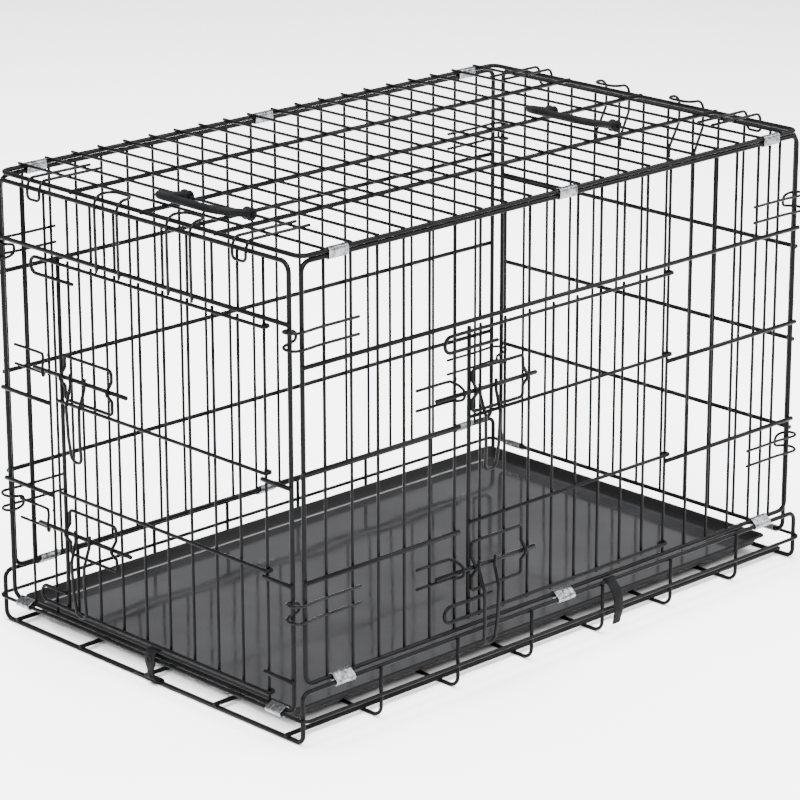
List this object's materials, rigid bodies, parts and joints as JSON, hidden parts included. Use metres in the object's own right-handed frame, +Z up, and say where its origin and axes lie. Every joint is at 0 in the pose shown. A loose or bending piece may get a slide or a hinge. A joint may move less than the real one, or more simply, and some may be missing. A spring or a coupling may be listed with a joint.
{
  "type": "folding pet crate",
  "caption": "Folding wire pet crate with latched doors in the long side and the end, a slide-out tray and carry handles on top.",
  "frame": {"origin": "middle of the whole footprint, on the floor", "axes": "+X along the length towards the end without a door, -Y towards the long side with a door, +Z up"},
  "size_m": [0.7854, 0.5054, 0.5268],
  "materials": {
    "black_wire": "black powder coat, semi-gloss",
    "zinc": "zinc plated, dull",
    "tray_plastic": "black, satin to glossy",
    "handle_plastic": "black, fine grain"
  },
  "bodies": {
    "base": {"base_front_wall": "black_wire", "base_back_wall": "black_wire", "base_left_rail": "black_wire", "base_right_rail": "black_wire", "base_floor_grid": "black_wire", "base_clip_back_1": "zinc", "base_clip_back_2": "zinc", "base_clip_back_3": "zinc", "base_clip_front_1": "zinc", "base_clip_front_2": "zinc", "base_clip_front_3": "zinc", "end_clip_left_1": "zinc", "end_clip_left_2": "zinc", "end_clip_right_1": "zinc", "end_clip_right_2": "zinc"},
    "tray": {"tray": "tray_plastic"},
    "front_side": {"front_side_latch_part": "black_wire", "front_side_hinge_part": "black_wire", "front_side_top_part": "black_wire", "front_side_sill": "black_wire", "corner_hook_left_front_lower": "black_wire", "corner_hook_left_front_upper": "black_wire", "corner_hook_right_front_lower": "black_wire", "corner_hook_right_front_upper": "black_wire"},
    "back_side": {"back_side_panel": "black_wire", "corner_hook_left_back_lower": "black_wire", "corner_hook_left_back_upper": "black_wire", "corner_hook_right_back_lower": "black_wire", "corner_hook_right_back_upper": "black_wire"},
    "top": {"top_panel": "black_wire", "top_clip_back_1": "zinc", "top_clip_back_2": "zinc", "top_clip_back_3": "zinc", "top_clip_front_1": "zinc", "top_clip_front_2": "zinc", "top_clip_front_3": "zinc", "top_hook_left_a": "black_wire", "top_hook_left_b": "black_wire", "top_hook_right_a": "black_wire", "top_hook_right_b": "black_wire"},
    "left_end": {"left_end_panel": "black_wire", "end_spring_loop_left_a": "black_wire", "end_spring_loop_left_b": "black_wire"},
    "right_end": {"right_end_panel": "black_wire", "end_spring_loop_right_a": "black_wire", "end_spring_loop_right_b": "black_wire"},
    "front_door": {"front_door": "black_wire"},
    "left_door": {"left_door": "black_wire"},
    "front_upper_rod": {"front_upper_rod": "black_wire"},
    "front_upper_handle": {"front_upper_handle": "black_wire"},
    "front_lower_rod": {"front_lower_rod": "black_wire"},
    "front_lower_handle": {"front_lower_handle": "black_wire"},
    "left_upper_rod": {"left_upper_rod": "black_wire"},
    "left_upper_handle": {"left_upper_handle": "black_wire"},
    "left_lower_rod": {"left_lower_rod": "black_wire"},
    "left_lower_handle": {"left_lower_handle": "black_wire"},
    "carry_handle_left": {"carry_handle_left": "handle_plastic"},
    "carry_handle_right": {"carry_handle_right": "handle_plastic"},
    "tray_stop_left": {"tray_stop_left": "handle_plastic"},
    "tray_stop_front": {"tray_stop_front": "handle_plastic"}
  },
  "joints": [
    {"name": "sides_fold", "type": "hinge", "parent": "base", "child": "front_side", "pos_m": [0.00189, -0.2353, 0.0615], "axis": [1, 0, 0], "range_deg": [-82, 0], "deforming": ["corner_hook_left_front_lower", "corner_hook_left_front_upper", "corner_hook_right_front_lower", "corner_hook_right_front_upper", "corner_hook_left_back_lower", "corner_hook_left_back_upper", "corner_hook_right_back_lower", "corner_hook_right_back_upper", "top_hook_left_a", "top_hook_left_b", "top_hook_right_a", "top_hook_right_b"]},
    {"name": "top_follow", "type": "hinge", "parent": "front_side", "child": "top", "pos_m": [0.00189, -0.2353, 0.5028], "axis": [1, 0, 0], "range_deg": [0, 82]},
    {"name": "back_side_follow", "type": "hinge", "parent": "base", "child": "back_side", "pos_m": [0.00189, 0.2377, 0.0615], "axis": [1, 0, 0], "range_deg": [-82, 0]},
    {"name": "left_end_fold", "type": "hinge", "parent": "base", "child": "left_end", "pos_m": [-0.37961, 0.0012, 0.031], "axis": [0, -1, 0], "range_deg": [-90, 0], "deforming": ["end_spring_loop_left_a", "end_spring_loop_left_b"]},
    {"name": "right_end_fold", "type": "hinge", "parent": "base", "child": "right_end", "pos_m": [0.38339, 0.0012, 0.031], "axis": [0, 1, 0], "range_deg": [-87, 0], "deforming": ["end_spring_loop_right_a", "end_spring_loop_right_b"]},
    {"name": "tray_slide", "type": "slide", "parent": "base", "child": "tray", "axis": [1, 0, 0], "range_m": [0, 0.65]},
    {"name": "front_door_hinge", "type": "hinge", "parent": "front_side", "child": "front_door", "pos_m": [0.16475, -0.2353, 0.23], "axis": [0, 0, 1], "range_deg": [0, 150]},
    {"name": "left_door_hinge", "type": "hinge", "parent": "left_end", "child": "left_door", "pos_m": [-0.37961, -0.18965, 0.23], "axis": [0, 0, 1], "range_deg": [0, 150]},
    {"name": "front_upper_bolt_slide", "type": "slide", "parent": "front_door", "child": "front_upper_rod", "axis": [1, 0, 0], "range_m": [0, 0.038]},
    {"name": "front_upper_handle_hinge", "type": "hinge", "parent": "front_upper_rod", "child": "front_upper_handle", "pos_m": [-0.12341, -0.24139, 0.322], "axis": [-1, 0, 0], "range_deg": [0, 95]},
    {"name": "front_lower_bolt_slide", "type": "slide", "parent": "front_door", "child": "front_lower_rod", "axis": [1, 0, 0], "range_m": [0, 0.038]},
    {"name": "front_lower_handle_hinge", "type": "hinge", "parent": "front_lower_rod", "child": "front_lower_handle", "pos_m": [-0.12341, -0.24139, 0.1285], "axis": [-1, 0, 0], "range_deg": [0, 95]},
    {"name": "left_upper_bolt_slide", "type": "slide", "parent": "left_door", "child": "left_upper_rod", "axis": [0, -1, 0], "range_m": [0, 0.023]},
    {"name": "left_upper_handle_hinge", "type": "hinge", "parent": "left_upper_rod", "child": "left_upper_handle", "pos_m": [-0.38571, 0.0933, 0.309], "axis": [0, 1, 0], "range_deg": [0, 95]},
    {"name": "left_lower_bolt_slide", "type": "slide", "parent": "left_door", "child": "left_lower_rod", "axis": [0, -1, 0], "range_m": [0, 0.023]},
    {"name": "left_lower_handle_hinge", "type": "hinge", "parent": "left_lower_rod", "child": "left_lower_handle", "pos_m": [-0.38571, 0.0933, 0.134], "axis": [0, 1, 0], "range_deg": [0, 95]},
    {"name": "carry_handle_left_hinge", "type": "hinge", "parent": "top", "child": "carry_handle_left", "pos_m": [-0.30573, -0.0378, 0.5111], "axis": [0, 1, 0], "range_deg": [0, 150]},
    {"name": "carry_handle_right_hinge", "type": "hinge", "parent": "top", "child": "carry_handle_right", "pos_m": [0.23713, -0.0378, 0.5111], "axis": [0, 1, 0], "range_deg": [0, 150]},
    {"name": "tray_stop_left_hinge", "type": "hinge", "parent": "base", "child": "tray_stop_left", "pos_m": [-0.38111, -0.0128, 0.0025], "axis": [0, -1, 0], "range_deg": [0, 85]},
    {"name": "tray_stop_front_hinge", "type": "hinge", "parent": "base", "child": "tray_stop_front", "pos_m": [0.07189, -0.24139, 0.0565], "axis": [-1, 0, 0], "range_deg": [0, 85]}
  ],
  "couplings": [
    {"joint": "top_follow", "follows": "sides_fold", "ratio": -1},
    {"joint": "back_side_follow", "follows": "sides_fold", "ratio": 1}
  ]
}
